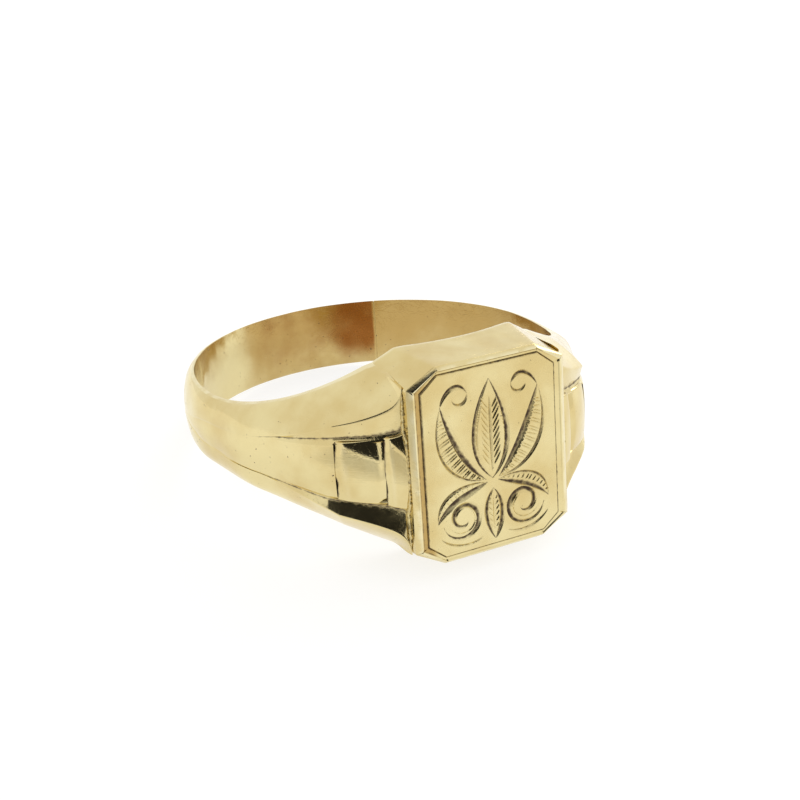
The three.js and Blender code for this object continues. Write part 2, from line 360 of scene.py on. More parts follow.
def lean_at(angle):
    """How far a section leans from a radial plane (0) into the head's side wall (1)."""
    return float(np.clip((TIER_OUTER_START - angle) / (TIER_OUTER_START - HEAD_ANGLE), 0, 1))


def place(radius, height, angle, side, lean):
    """Ring points from a section's radii and heights. side is -1 on the left and 1 on the right."""
    leaned = np.radians(angle + (end_angle(radius, height) - angle) * lean)
    return np.column_stack([radius * np.cos(leaned), side * radius * np.sin(leaned), height])


def outer_line(angle, edge, to_head, seated):
    """The outside of a section from its top edge to its bottom edge. The lower flute is scooped deeper."""
    upper = soften(half_section(angle, edge, to_head, seated, UPPER_SCOOP), 2)
    lower = soften(half_section(angle, edge, to_head, seated, LOWER_SCOOP), 2)[:-1][::-1]
    lower[:, 1] *= -1
    return np.concatenate([upper, lower])


def inner_line(edge, count):
    """The finger side of a section, from its bottom edge to its top edge."""
    return np.column_stack([np.full(count, FINGER_RADIUS), np.linspace(-edge, edge, count)])


# ---------------------------------------------------------------- materials


class Nodes:
    """A material's node tree, with short calls for the nodes used here."""

    def __init__(self, name):
        self.material = bpy.data.materials.new(name)
        self.material.use_nodes = True
        self.tree = self.material.node_tree
        self.tree.nodes.clear()

    def add(self, kind, **inputs):
        node = self.tree.nodes.new(kind)
        for key, value in inputs.items():
            self.feed(node.inputs[key.replace("_", " ")], value)
        return node

    def feed(self, socket, value):
        """Links another node's output to a socket, or sets the socket's own value."""
        if isinstance(value, bpy.types.NodeSocket):
            self.tree.links.new(value, socket)
        else:
            socket.default_value = value

    def place(self, stretch, turn=(0.0, 0.0, 0.0)):
        """Object coordinates in millimetres, turned and stretched."""
        coordinates = self.add("ShaderNodeTexCoord")
        turned = self.add("ShaderNodeMapping", Vector=coordinates.outputs["Object"], Rotation=turn)
        scaled = self.add("ShaderNodeVectorMath")
        scaled.operation = "MULTIPLY"
        self.tree.links.new(turned.outputs["Vector"], scaled.inputs[0])
        scaled.inputs[1].default_value = [value / MM for value in stretch]
        return scaled.outputs[0]

    def noise(self, stretch, detail=2.0, roughness=0.5, turn=(0.0, 0.0, 0.0)):
        """Noise with this many waves per millimetre along each axis."""
        node = self.add("ShaderNodeTexNoise", Vector=self.place(stretch, turn), Scale=1.0,
                        Detail=detail, Roughness=roughness)
        return node.outputs["Fac"]

    def ramp(self, value, low, high, out_low=0.0, out_high=1.0):
        """A smooth step from one value to another, between low and high."""
        node = self.add("ShaderNodeMapRange", Value=value)
        node.interpolation_type = "SMOOTHSTEP"
        node.inputs["From Min"].default_value = low
        node.inputs["From Max"].default_value = high
        node.inputs["To Min"].default_value = out_low
        node.inputs["To Max"].default_value = out_high
        return node.outputs["Result"]

    def math(self, operation, first, second=0.0):
        node = self.add("ShaderNodeMath")
        node.operation = operation
        for socket, value in zip(node.inputs, (first, second)):
            self.feed(socket, value)
        return node.outputs[0]

    def mix(self, factor, first, second):
        node = self.tree.nodes.new("ShaderNodeMix")
        node.data_type = "RGBA"
        for number, value in ((0, factor), (6, first), (7, second)):
            self.feed(node.inputs[number], value)
        return node.outputs[2]

    def mark(self, name):
        """A mark of the mesh, or 0 on a piece that doesn't have it."""
        node = self.tree.nodes.new("ShaderNodeAttribute")
        node.attribute_name = name
        return node.outputs["Fac"]

    def scratches(self, density, turn):
        """Fine straight lines: a narrow band of a noise that is stretched along one direction."""
        field = self.noise((density, 0.05, density), detail=0.0, turn=turn)
        off_centre = self.math("ABSOLUTE", self.math("SUBTRACT", field, 0.5))
        line = self.ramp(off_centre, 0.0, 0.02, 1.0, 0.0)
        scratched = self.ramp(self.noise((0.5, 0.5, 0.5), turn=turn), 0.44, 0.58)
        return self.math("MULTIPLY", line, scratched)


GOLD_PALE = (0.77, 0.66, 0.35, 1.0)
GOLD_WARM = (0.67, 0.53, 0.24, 1.0)
GOLD_WORN = (0.86, 0.78, 0.5, 1.0)
COPPER = (0.3, 0.115, 0.025, 1.0)
TARNISH = (0.5, 0.34, 0.12, 1.0)
# The dark colour of dirt and of painted shade in hollows, creases and cuts.
DIRT_AND_SHADE = (0.06, 0.03, 0.011, 1.0)

# Scratches: how close together, and the turn of their direction. The bump is given in millimetres.
SCRATCHES = ((3.2, (0.3, 0.5, 0.9)), (4.5, (1.2, 0.2, 2.1)), (2.6, (0.4, 1.9, 0.2)), (3.8, (2.5, 0.7, 1.3)))
BUMP_DISTANCE = 0.012
BUMP_STRENGTH = 0.35


def ragged_mark(n, mark, waves, detail, raggedness, low, high):
    """How strongly a mark shows: the mark with a ragged edge. It serves the stains and the dirt with painted
    shade.
    """
    ragged = n.math("MULTIPLY", n.noise((waves, waves, waves), detail=detail), raggedness)
    return n.ramp(n.math("ADD", n.mark(mark), ragged), low, high)


def gold_material(name, polish, wear, pits):
    """Yellow gold: mottled colour, scratches, pits, dirt and painted shade in the hollows, and tarnish where
    it is marked.
    """
    n = Nodes(name)
    mottle = n.ramp(n.noise((0.35, 0.35, 0.35), detail=4.0), 0.35, 0.68)
    colour = n.mix(mottle, GOLD_PALE, GOLD_WARM)
    uneven = n.ramp(n.noise((1.4, 1.4, 1.4), detail=3.0), 0.3, 0.6)
    rubbed = n.math("MULTIPLY", n.mark("worn"), uneven)
    colour = n.mix(rubbed, colour, GOLD_WORN)
    tarnish = ragged_mark(n, "tarnish", 0.6, 5.0, 0.7, 0.5, 1.25)
    colour = n.mix(tarnish, colour, TARNISH)
    copper = ragged_mark(n, "copper", 0.9, 4.0, 0.6, 0.5, 1.35)
    colour = n.mix(copper, colour, COPPER)

    # Dirt and painted shade: the marked hollows, creases and cuts are darkened, together with the pits,
    # towards the dark colour.
    dirt_and_shade = ragged_mark(n, "dirt_and_shade", 4.0, 3.0, 0.9, 0.78, 1.4)
    pit_zone = n.ramp(n.noise((0.45, 0.45, 0.45), detail=1.0), 0.4, 0.65)
    pit_field = n.noise((6.5, 6.5, 6.5), detail=1.0)
    pit = n.math("MULTIPLY", n.ramp(pit_field, 0.735, 0.78), pit_zone)
    dark = n.math("MAXIMUM", dirt_and_shade, n.math("MULTIPLY", pit, pits))
    colour = n.mix(dark, colour, DIRT_AND_SHADE)

    lines = n.scratches(*SCRATCHES[0])
    for density, turn in SCRATCHES[1:]:
        lines = n.math("MAXIMUM", lines, n.scratches(density, turn))
    smears = n.noise((1.1, 1.1, 1.1), detail=5.0, roughness=0.65)
    rough = n.ramp(smears, 0.3, 0.75, polish, polish + wear)
    for layer, added in ((lines, 0.08), (dark, 0.45), (copper, 0.12)):
        rough = n.math("ADD", rough, n.math("MULTIPLY", layer, added))

    height = n.noise((1.1, 1.1, 1.1), detail=2.0)
    height = n.math("ADD", height, n.math("MULTIPLY", n.noise((22.0, 22.0, 22.0), detail=2.0), 0.03))
    for layer, cut in ((lines, 0.22), (pit, 1.5)):
        height = n.math("SUBTRACT", height, n.math("MULTIPLY", layer, cut))
    bump = n.add("ShaderNodeBump", Strength=BUMP_STRENGTH, Distance=BUMP_DISTANCE * MM, Height=height)

    metal = n.math("SUBTRACT", 1.0, n.math("MULTIPLY", dark, 0.85))
    shader = n.add("ShaderNodeBsdfPrincipled", Base_Color=colour, Roughness=rough, Metallic=metal,
                   Normal=bump.outputs[0])
    n.add("ShaderNodeOutputMaterial", Surface=shader.outputs[0])
    return n.material


gold_body = gold_material("gold_body", polish=0.08, wear=0.14, pits=0.9)
gold_polished = gold_material("gold_polished", polish=0.05, wear=0.07, pits=0.5)
gold_border = gold_material("gold_border", polish=0.06, wear=0.1, pits=0.4)
gold_plate = gold_material("gold_plate", polish=0.16, wear=0.16, pits=0.5)
solder_material = gold_material("solder", polish=0.34, wear=0.2, pits=1.0)

# ---------------------------------------------------------------- band

# Points of a section's outside, and how much longer the leaning part near the head is along a flute.
OUTER_COUNT = 2 * (RAIL_POINTS + 2 * (SECTION_POINTS - 1) + WALL_POINTS - 1) - 1
LEAN_STRETCH = 1.35


def tarnish_mark(angle, height):
    """The inside of the band is darker, except for a rubbed part on its left. Angles go by the right side."""
    shown = smoothstep((angle - 35) / 30) * smoothstep((360 - angle - 35) / 30)
    rubbed = smoothstep((angle - 198) / 14) * (1 - smoothstep((angle - 262) / 20))
    return shown * (0.6 + 0.3 * smoothstep((height + 1.8) / 3.2)) * (1 - 0.8 * rubbed)


def copper_mark(angle, height):
    """A copper-coloured stain inside the back of the band, which ends sharply at the sizing seam."""
    start = smoothstep((angle - SEAM_ANGLE) / 0.6)
    end = 1 - 0.55 * smoothstep((angle - 162) / 10) - 0.45 * smoothstep((angle - 192) / 16)
    low = smoothstep((height + 2.0) / 1.8)
    return start * end * (0.3 + 0.7 * low)


def section_loop(angle, seated):
    """One closed loop of a bar on the ring's right side, with its marks of dirt with painted shade and of
    wear.
    """
    edge = edge_height(angle + (float(end_angle(FINGER_RADIUS)) - angle) * lean_at(angle))
    edge -= 0.03 * lean_at(angle) ** 2
    to_head = math.radians(max(0.0, angle - HEAD_ANGLE)) * HEAD_OUTLINE * LEAN_STRETCH
    outer = outer_line(angle, edge, to_head, seated)
    inner = inner_line(edge, len(outer))
    radius = np.concatenate([outer[:, 0], inner[:, 0]])
    height = np.concatenate([outer[:, 1], inner[:, 1]])
    points = place(radius, height, angle, 1, lean_at(angle))
    # Dirt and painted shade in the flutes' valleys and on the tiers' seat, fading out towards the band; none
    # on the finger side.
    dirt_and_shade = np.concatenate([outer[:, 2], np.zeros(len(inner))])
    dirt_and_shade = dirt_and_shade * smoothstep((GROOVE_START + 2 - angle) / 20)
    worn = np.where(np.abs(np.abs(height) - edge) < 0.05, 0.7, 0.0)
    return points, dirt_and_shade, worn


def band_bar(name, node, angles, side, seated_from=0.0):
    """A bar through sections at these angles from the head. Those nearer than seated_from have a seat."""
    loops, dirt_and_shade_rows, worns, coppers, tarnishes = [], [], [], [], []
    for angle in angles:
        true_angle = min(angle, 360 - angle)
        points, dirt_and_shade, worn = section_loop(true_angle, true_angle < seated_from)
        turned = points.copy()
        turned[:, 1] *= side if angle <= 180 else -side
        loops.append(turned)
        dirt_and_shade_rows.append(dirt_and_shade)
        worns.append(worn)
        copper = np.zeros(len(points))
        right_angle = angle if side > 0 else 360 - angle
        inner = slice(OUTER_COUNT, None)
        copper[inner] = copper_mark(right_angle, points[inner, 2])
        coppers.append(copper)
        tarnish = np.zeros(len(points))
        tarnish[inner] = tarnish_mark(right_angle, points[inner, 2])
        tarnishes.append(tarnish)
    points = np.concatenate(loops)
    radial = points / np.maximum(np.linalg.norm(points, axis=1), 1e-6)[:, None]
    points = points + radial * unevenness(points, BODY_WAVES)[:, None]
    faces = face_out(points, bar_faces(len(angles), OUTER_COUNT))
    marks = {"dirt_and_shade": np.concatenate(dirt_and_shade_rows), "worn": np.concatenate(worns),
             "copper": np.concatenate(coppers), "tarnish": np.concatenate(tarnishes)}
    make_piece(name, points, faces, node, gold_body, marks)


seam_half = math.degrees(SEAM_WIDTH / 2 / BAND_RADIUS)
left_shank_angles = np.linspace(SHANK_END, 360 - SEAM_ANGLE - seam_half, 150)
right_shank_angles = np.linspace(SHANK_END, SEAM_ANGLE - seam_half, 90)
band_bar("band_left", "shank_left", left_shank_angles, -1)
band_bar("band_right", "shank_right", right_shank_angles, 1)


def seam_strip():
    """The sizing seam: a hair-thin line of solder, slightly sunk between the band's two ends."""
    loops = []
    for angle in np.linspace(SEAM_ANGLE - seam_half, SEAM_ANGLE + seam_half, 4):
        points, _, _ = section_loop(angle, False)
        centre = points[OUTER_COUNT // 2] * [1, 1, 0]
        middle = centre / np.linalg.norm(centre) * (FINGER_RADIUS + BAND_THICKNESS / 2)
        loops.append(middle + (points - middle) * 0.985)
    points = np.concatenate(loops)
    faces = face_out(points, bar_faces(len(loops), OUTER_COUNT))
    marks = {"dirt_and_shade": np.full(len(points), 0.3), "tarnish": np.full(len(points), 0.6)}
    make_piece("seam", points, faces, "sizing_seam", solder_material, marks)


seam_strip()

# ---------------------------------------------------------------- shoulders

plain_angles = np.linspace(SHANK_END, TIER_OUTER_START, 120)
seated_angles = np.linspace(TIER_OUTER_START - 0.05, HEAD_ANGLE, 90)
shoulder_angles = np.concatenate([plain_angles, seated_angles])
for word, side in (("left", -1), ("right", 1)):
    band_bar(f"shoulder_body_{word}", f"shoulder_{word}", shoulder_angles, side, TIER_OUTER_START)


def tier_block(word, side, number, start, end, rise):
    """A stepped block on the rib: a sloped riser towards the band, then a cushion that is domed both ways."""
    rows, cols = 60, 71
    across_line = np.linspace(-1, 1, cols)
    wander = 0.3 * np.sin(5 * across_line + 1) + 0.12 * np.sin(11 * across_line + 2)
    loops, dirt_and_shade_rows, worns = [], [], []
    for t in np.linspace(0, 1, rows):
        angle = start + (end - start) * t
        half_width = mix((rib_height(angle), valley_height(angle)), TIER_OVER_WALL)
        crest = outline_radius(angle)
        riser = smoothstep(t / RISER_SHARE)
        swell = TIER_SWELL * (1 - (2 * t - 1) ** 2)
        turn_in = TIER_TURN_IN * smoothstep((t - 0.75) / 0.25)
        fall = mix(TIER_FALL, t) * across_line**2
        lip = TIER_LIP * (1 - np.clip((1 - np.abs(across_line)) / 0.05, 0, 1)) ** 2
        top = crest + 0.02 + 0.75 * rise * riser + swell - turn_in - fall - lip
        height = half_width * np.sign(across_line) * np.abs(across_line) ** 0.85
        seat = np.full(cols, crest - TIER_SEAT_DEPTH - 0.03)
        radius = np.concatenate([top, seat])
        heights = np.concatenate([height, height[::-1]])
        turned = np.concatenate([wander * (1 - smoothstep(t / 0.15)), np.zeros(cols)])
        loops.append(place(radius, heights, angle + turned, side, lean_at(angle)))
        # Dirt and painted shade along the block's side edges, all over its seat, and in the step at its
        # start.
        dirt_and_shade = np.concatenate([0.5 * np.abs(across_line) ** 30, np.ones(cols)])
        dirt_and_shade[:cols] = np.maximum(dirt_and_shade[:cols], 0.8 * (1 - smoothstep(t / 0.05)))
        dirt_and_shade_rows.append(dirt_and_shade)
        on_edge = 0.25 * (1 - smoothstep(abs(t - RISER_SHARE) / 0.1))
        worns.append(np.concatenate([np.full(cols, on_edge), np.zeros(cols)]))
    points = np.concatenate(loops)
    faces = face_out(points, bar_faces(rows, cols))
    marks = {"dirt_and_shade": np.concatenate(dirt_and_shade_rows), "worn": np.concatenate(worns)}
    name = f"tier_block_{number}_{word}"
    make_piece(name, points, faces, f"tier_{number}_{word}", gold_polished, marks)


for word, side in (("left", -1), ("right", 1)):
    tier_block(word, side, "outer", TIER_OUTER_START - 0.05, TIER_INNER_START + 0.05, TIER_RISES[0])
    tier_block(word, side, "inner", TIER_INNER_START, HEAD_ANGLE, TIER_RISES[1])

# ---------------------------------------------------------------- head


def corner_spread(per_edge):
    """Places along an edge, closer together towards its corners."""
    return (1 - np.cos(np.linspace(0, math.pi, per_edge + 1)[:-1])) / 2


def octagon(measures, per_edge, even=False):
    """Points round an eight-sided outline, evenly spaced or closer together towards its corners."""
    width, height, cut_height, cut_width = measures
    quarter = [(width, cut_height), (cut_width, height)]
    upper = quarter + [(-y, z) for y, z in reversed(quarter)]
    corners = upper + [(-y, -z) for y, z in upper]
    spread = (np.arange(per_edge) / per_edge if even else corner_spread(per_edge))[:, None]
    points = []
    for number, corner in enumerate(corners):
        following = np.array(corners[(number + 1) % 8])
        points.append(np.array(corner) + spread * (following - np.array(corner)))
    return np.concatenate(points)


def corner_steps(per_edge):
    """How many points away the nearest corner is."""
    return np.tile(np.minimum(np.arange(per_edge), per_edge - np.arange(per_edge)), 8)


def measures_between(first, second, share):
    """The measures of an outline this share of the way from one to another."""
    return tuple(a + (b - a) * share for a, b in zip(first, second))


def finger_surface(points):
    """How far out the finger hole's wall lies under these points."""
    return np.sqrt(FINGER_RADIUS**2 - points[:, 0] ** 2)


def rounded_corners(ring, passes):
    """Rounds the corners of an outline by averaging along it."""
    for _ in range(passes):
        ring = (np.roll(ring, 1, axis=0) + 2 * ring + np.roll(ring, -1, axis=0)) / 4
    return ring


def head_box():
    """The eight-sided box: nearly flat sides, eased edges, and an inner edge that follows the finger hole."""
    per_edge = 40
    top = FACE_HEIGHT - 0.2
    loops, worns, dirt_and_shade_rows = [], [], []

    def add(ring, level, worn=0.0, dirt_and_shade=0.0):
        loops.append(np.column_stack([level, ring]))
        worns.append(np.full(len(ring), worn))
        dirt_and_shade_rows.append(np.full(len(ring), dirt_and_shade))

    foot = rounded_corners(octagon(BOX_FOOT, per_edge, even=True), 16)
    wall = octagon(CAVITY, per_edge, even=True)
    for share in (0.0, 0.5, 0.85):
        ring = wall + (foot - wall) * share
        add(ring, finger_surface(ring))
    for share, up in ((0.955, 0.005), (0.985, 0.03), (0.998, 0.08)):
        ring = wall + (foot - wall) * share
        add(ring, finger_surface(ring) + up, worn=0.8)
    for share in np.linspace(0.06, 1.0, 26):
        measures = measures_between(BOX_FOOT, BOX_TOP, share)
        ring = rounded_corners(octagon(measures, per_edge, even=True), int(16 - 14 * share))
        low = finger_surface(ring) + 0.1
        add(ring, low + (top - low) * share)
    for inset in (0.01, 0.05):
        ring = rounded_corners(octagon(measures_between(BOX_TOP, FIELD, inset), per_edge, even=True), 2)
        add(ring, np.full(len(ring), top + inset * 0.3))
    # The rows under the border's rim are fully darkened: dirt and painted shade.
    under = octagon(measures_between(BOX_TOP, FIELD, 0.3), per_edge, even=True)
    add(under, np.full(len(under), top - 0.1), dirt_and_shade=1.0)
    add(under, np.full(len(under), FACE_HEIGHT - RIM_DEPTH - 0.01), dirt_and_shade=1.0)
    add(wall, np.full(len(wall), FACE_HEIGHT - RIM_DEPTH - 0.01), dirt_and_shade=1.0)
    points = np.concatenate(loops)
    outward = np.column_stack([np.zeros(len(points)), points[:, 1:]])
    outward = outward / np.linalg.norm(outward, axis=1)[:, None]
    points = points - outward * np.abs(unevenness(points, BODY_WAVES))[:, None]
    faces = face_out(points, side_faces(len(loops), 8 * per_edge, wrap_rows=True))
    marks = {"dirt_and_shade": np.concatenate(dirt_and_shade_rows), "worn": np.concatenate(worns)}
    make_piece("head_box_body", points, faces, "head_box", gold_body, marks)


head_box()


def finger_liner():
    """The curved plate between the box and the finger."""
    per_edge = 24
    scales = np.linspace(0.997, 0.02, 14)
    outline = octagon(CAVITY, per_edge)
    inner = [np.column_stack([finger_surface(outline * s), outline * s]) for s in scales]
    outer = [loop + [LINER_THICKNESS, 0, 0] for loop in inner]
    rows = inner[::-1] + outer
    points = np.concatenate(rows)
    faces = side_faces(len(rows), 8 * per_edge)
    faces.append(tuple(range(8 * per_edge)))
    start = (len(rows) - 1) * 8 * per_edge
    faces.append(tuple(reversed(range(start, start + 8 * per_edge))))
    # The liner's edge against the box is darkened: dirt and painted shade in the crease.
    edge = [np.full(8 * per_edge, 0.8 * (s > 0.97)) for s in list(scales[::-1]) + list(scales)]
    make_piece("liner", points, face_out(points, faces), "finger_liner", gold_body,
               {"dirt_and_shade": np.concatenate(edge)})


finger_liner()

# The border's section: share of the way from the box's outline to the field, depth below the face, and
# darkening by dirt and painted shade.
BORDER_SECTION = (
    (0.36, RIM_DEPTH, 1.0), (0.02, 0.23, 0.5), (0.02, 0.2, 0.1), (0.05, 0.175, 0.0), (0.34, 0.025, 0.0),
    (0.4, 0.005, 0.0), (0.46, 0.0, 0.0), (0.52, 0.006, 0.2), (0.58, 0.035, 0.62), (0.64, 0.05, 0.45),
    (0.72, 0.056, 0.3), (0.8, 0.058, 0.3), (0.9, 0.062, 0.42), (0.96, 0.08, 0.66),
    (1.0, 0.1, 0.8), (1.0, RIM_DEPTH, 1.0),
)
GROOVE_SHARE = 0.56
MITRE_CUT = 0.035


def face_border():
    """The mitred border: a bevel outside, a narrow rounded bead, and a stained groove inside, darkened with
    dirt and painted shade.
    """
    per_edge = 90
    mitre = np.clip(1 - corner_steps(per_edge) / 7.0, 0, 1)
    loops, dirt_and_shade_rows, worns, tarnishes = [], [], [], []
    for share, below, dirt_and_shade_amount in BORDER_SECTION:
        ring = octagon(measures_between(BOX_TOP, FIELD, share), per_edge)
        on_bead = 0.25 < share < 0.75
        left = smoothstep((-ring[:, 0] - 2.9) / 0.5)
        in_groove = GROOVE_SHARE < share < 0.95
        loops.append(np.column_stack([FACE_HEIGHT - below - MITRE_CUT * mitre * on_bead, ring]))
        # Dirt and painted shade in the groove, stronger on the left, and along the mitred corners of the
        # bead.
        line = dirt_and_shade_amount * (0.55 + 0.45 * left) if in_groove else np.full(len(ring), dirt_and_shade_amount)
        dirt_and_shade_rows.append(np.maximum(line, 0.7 * mitre * on_bead))
        worns.append(np.full(len(ring), 0.8 if 0.33 < share < 0.5 else 0.0))
        tarnishes.append((0.15 + 0.65 * left) * (share > GROOVE_SHARE))
    points = np.concatenate(loops)
    points[:, 0] -= np.abs(unevenness(points, BORDER_WAVES))
    faces = face_out(points, side_faces(len(loops), 8 * per_edge, wrap_rows=True))
    marks = {"dirt_and_shade": np.concatenate(dirt_and_shade_rows), "worn": np.concatenate(worns),
             "tarnish": np.concatenate(tarnishes)}
    make_piece("border", points, faces, "face_border", gold_border, marks)


face_border()

# ---------------------------------------------------------------- engraving
# A made-up foliate spray, the same on both sides of the face's middle. Each cut is a curve that swells and
# tapers, and its deepest line lies nearer to one of its edges, as a tilted graver leaves it.


def curve(points, count=40):
    """A cubic curve through a start, two handles and an end."""
    return bezier(*points, count)


def spiral(centre, radius, start, turns, shrink, count=60):
    """A spiral from its outer end, whose radius shrinks by this share of itself."""
    t = np.linspace(0, 1, count)
    angle = np.radians(start) + 2 * math.pi * turns * t
    size = radius * (1 - shrink * t)
    return np.column_stack([centre[0] + size * np.cos(angle), centre[1] + size * np.sin(angle)])


def between(first, second, count, lean=0.0):
    """Short hatch cuts from one curve to another."""
    cuts = []
    for t in np.linspace(0.08, 0.92, count):
        start = first[int(t * (len(first) - 1))]
        end = second[int(np.clip(t + lean, 0, 1) * (len(second) - 1))]
        cuts.append(np.linspace(start, end, 8))
    return cuts


def spray():
    """All cuts as (line, greatest width, depth, lean). A lean of 0 has its deepest line in the middle."""
    leaf = curve([(0, -1.1), (1.35, 0.1), (0.95, 2.1), (0, 3.75)])
    leaf_shade = curve([(0.12, -0.9), (1.05, 0.2), (0.85, 1.8), (0.12, 3.3)])
    outer = curve([(0.35, -1.1), (2.0, -1.1), (3.35, 0.5), (2.55, 2.9)])
    inner = curve([(0.35, -1.1), (1.35, -0.2), (2.0, 1.2), (2.55, 2.9)])
    tip = curve([(2.55, 2.9), (2.25, 3.75), (1.45, 3.95), (1.15, 3.3)])
    tip_back = curve([(1.15, 3.3), (1.15, 2.75), (1.75, 2.6), (1.95, 3.15)])
    low_outer = curve([(0.3, -1.25), (1.5, -1.0), (3.0, -1.3), (2.95, -2.7)])
    low_inner = curve([(0.3, -1.25), (1.3, -1.65), (2.3, -1.8), (2.95, -2.7)])
    scroll = spiral((1.62, -2.75), 1.08, -10, -1.35, 0.72)
    scroll_inside = spiral((1.62, -2.75), 0.8, -10, -0.7, 0.4)
    drop = curve([(0, -1.6), (0.65, -2.4), (0.45, -3.5), (0, -4.15)])
    fine = curve([(0.6, -3.85), (1.3, -4.3), (2.4, -4.1), (2.95, -3.35)])
    right = [
        (leaf, 0.28, 0.12, 0.5), (leaf_shade, 0.09, 0.05, 0.0),
        (outer, 0.2, 0.1, -0.3), (inner, 0.42, 0.15, 0.6),
        (tip, 0.26, 0.12, 0.4), (tip_back, 0.18, 0.09, 0.2), (low_outer, 0.2, 0.1, 0.3),
        (low_inner, 0.4, 0.15, -0.5), (scroll, 0.34, 0.14, 0.5), (scroll_inside, 0.09, 0.05, 0.0),
        (drop, 0.3, 0.12, 0.5), (fine, 0.16, 0.08, 0.2),
    ]
    right += [(cut, 0.085, 0.05, 0.0) for cut in between(outer, inner, 24, -0.03)]
    right += [(cut, 0.08, 0.045, 0.0) for cut in between(low_outer, low_inner, 12)]
    for height in np.linspace(-0.5, 2.3, 10):
        vein = curve([(0.07, height), (0.22, height + 0.24), (0.36, height + 0.44), (0.5, height + 0.7)], 10)
        right.append((vein, 0.11, 0.06, 0.2))
    for height in np.linspace(-3.6, -2.2, 6):
        vein = curve([(0.05, height), (0.14, height + 0.1), (0.22, height + 0.2), (0.3, height + 0.34)], 10)
        right.append((vein, 0.09, 0.05, 0.2))
    left = [(line * [-1, 1], width, depth, lean) for line, width, depth, lean in right]
    middle = [
        (np.linspace([0, -1.0], [0, 3.1], 30), 0.16, 0.08, 0.3),
        (np.linspace([0, -3.8], [0, -1.8], 20), 0.13, 0.07, 0.3),
    ]
    return right + left + middle


def carve(y, z):
    """Depth of the engraving, and its dirt with painted shade, at each point of the field."""
    depth = np.zeros(len(y))
    dirt_and_shade = np.zeros(len(y))
    for line, width, cut_depth, lean in spray():
        near = (y > line[:, 0].min() - width) & (y < line[:, 0].max() + width)
        near &= (z > line[:, 1].min() - width) & (z < line[:, 1].max() + width)
        index = np.flatnonzero(near)
        if len(index) == 0:
            continue
        places = np.column_stack([y[index], z[index]])
        starts, ends = line[:-1], line[1:]
        step = ends - starts
        length = np.maximum((step**2).sum(1), 1e-12)
        best = np.full(len(index), 1e9)
        side = np.zeros(len(index))
        share = np.zeros(len(index))
        for number in range(len(starts)):
            offset = places - starts[number]
            t = np.clip(offset @ step[number] / length[number], 0, 1)
            away = offset - t[:, None] * step[number]
            distance = np.hypot(away[:, 0], away[:, 1])
            closer = distance < best
            best[closer] = distance[closer]
            turn = step[number, 0] * away[:, 1] - step[number, 1] * away[:, 0]
            side[closer] = np.sign(turn[closer])
            share[closer] = (number + t[closer]) / len(starts)
        taper = np.clip(np.sin(math.pi * np.clip(share, 0.02, 0.98)), 0, 1) ** 0.6
        half = np.maximum(width / 2 * taper, 0.012)
        across_cut = side * best / half
        deepest = lean * 0.8
        rising = (across_cut + 1) / (1 + deepest)
        falling = (1 - across_cut) / (1 - deepest)
        profile = np.clip(np.where(across_cut < deepest, rising, falling), 0, 1)
        depth[index] = np.maximum(depth[index], cut_depth * taper * profile)
        # The cuts are darkened most where they are deepest, bold cuts more: dirt and painted shade.
        bold = smoothstep((width - 0.07) / 0.2)
        dirt_and_shade_amount = (0.34 + 0.5 * bold) * smoothstep(profile * 1.2)
        dirt_and_shade[index] = np.maximum(dirt_and_shade[index], dirt_and_shade_amount)
    return depth, dirt_and_shade


def signet_plate():
    """The engraved plate. Its rows follow the eight-sided outline, so its edge is exact."""
    width, height, cut_height, cut_width = (measure - 0.005 for measure in FIELD)
    cut = (height - cut_height, width - cut_width)
    cut_line = cut[0] * width + cut[1] * cut_height
    row_count, column_count = ((310, 250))
    rows = np.linspace(-1, 1, row_count)
    columns = np.linspace(-1, 1, column_count)
    z = np.repeat(rows * height, column_count)
    half = np.minimum(width, (cut_line - cut[1] * np.abs(z)) / cut[0])
    y = np.tile(columns, row_count) * half
    to_edge = np.minimum(width - np.abs(y), height - np.abs(z))
    to_cut = (cut_line - cut[1] * np.abs(z) - cut[0] * np.abs(y)) / math.hypot(*cut)
    to_edge = np.minimum(to_edge, to_cut)
    depth, dirt_and_shade = carve(y, z)
    bevel = 0.07 * np.clip(1 - to_edge / 0.04, 0, 1)
    level = FACE_HEIGHT - 0.004 - depth - bevel
    level = level - np.abs(unevenness(np.column_stack([level, y, z]), FACE_WAVES))
    # The plate is darkened along its edge against the border: dirt and painted shade.
    dirt_and_shade = np.maximum(dirt_and_shade, 0.7 * (1 - smoothstep((to_edge - 0.02) / 0.04)))
    points = np.column_stack([level, y, z])
    top = len(points)
    faces = []
    for row in range(row_count - 1):
        for column in range(column_count - 1):
            a = row * column_count + column
            faces.append((a, a + 1, a + column_count + 1, a + column_count))
    rim = list(range(column_count))
    rim += [row * column_count + column_count - 1 for row in range(1, row_count)]
    rim += [(row_count - 1) * column_count + column for column in range(column_count - 2, -1, -1)]
    rim += [row * column_count for row in range(row_count - 2, 0, -1)]
    under = points[rim].copy()
    under[:, 0] = FACE_HEIGHT - RIM_DEPTH
    points = np.concatenate([points, under])
    count = len(rim)
    for step in range(count):
        following = (step + 1) % count
        faces.append((rim[following], rim[step], top + step, top + following))
    faces.append(tuple(top + step for step in range(count)))
    marks = {"dirt_and_shade": np.concatenate([dirt_and_shade, np.ones(count)])}
    make_piece("plate", points, face_out(points, faces), "signet_plate", gold_plate, marks)


signet_plate()

# ---------------------------------------------------------------- solder beads


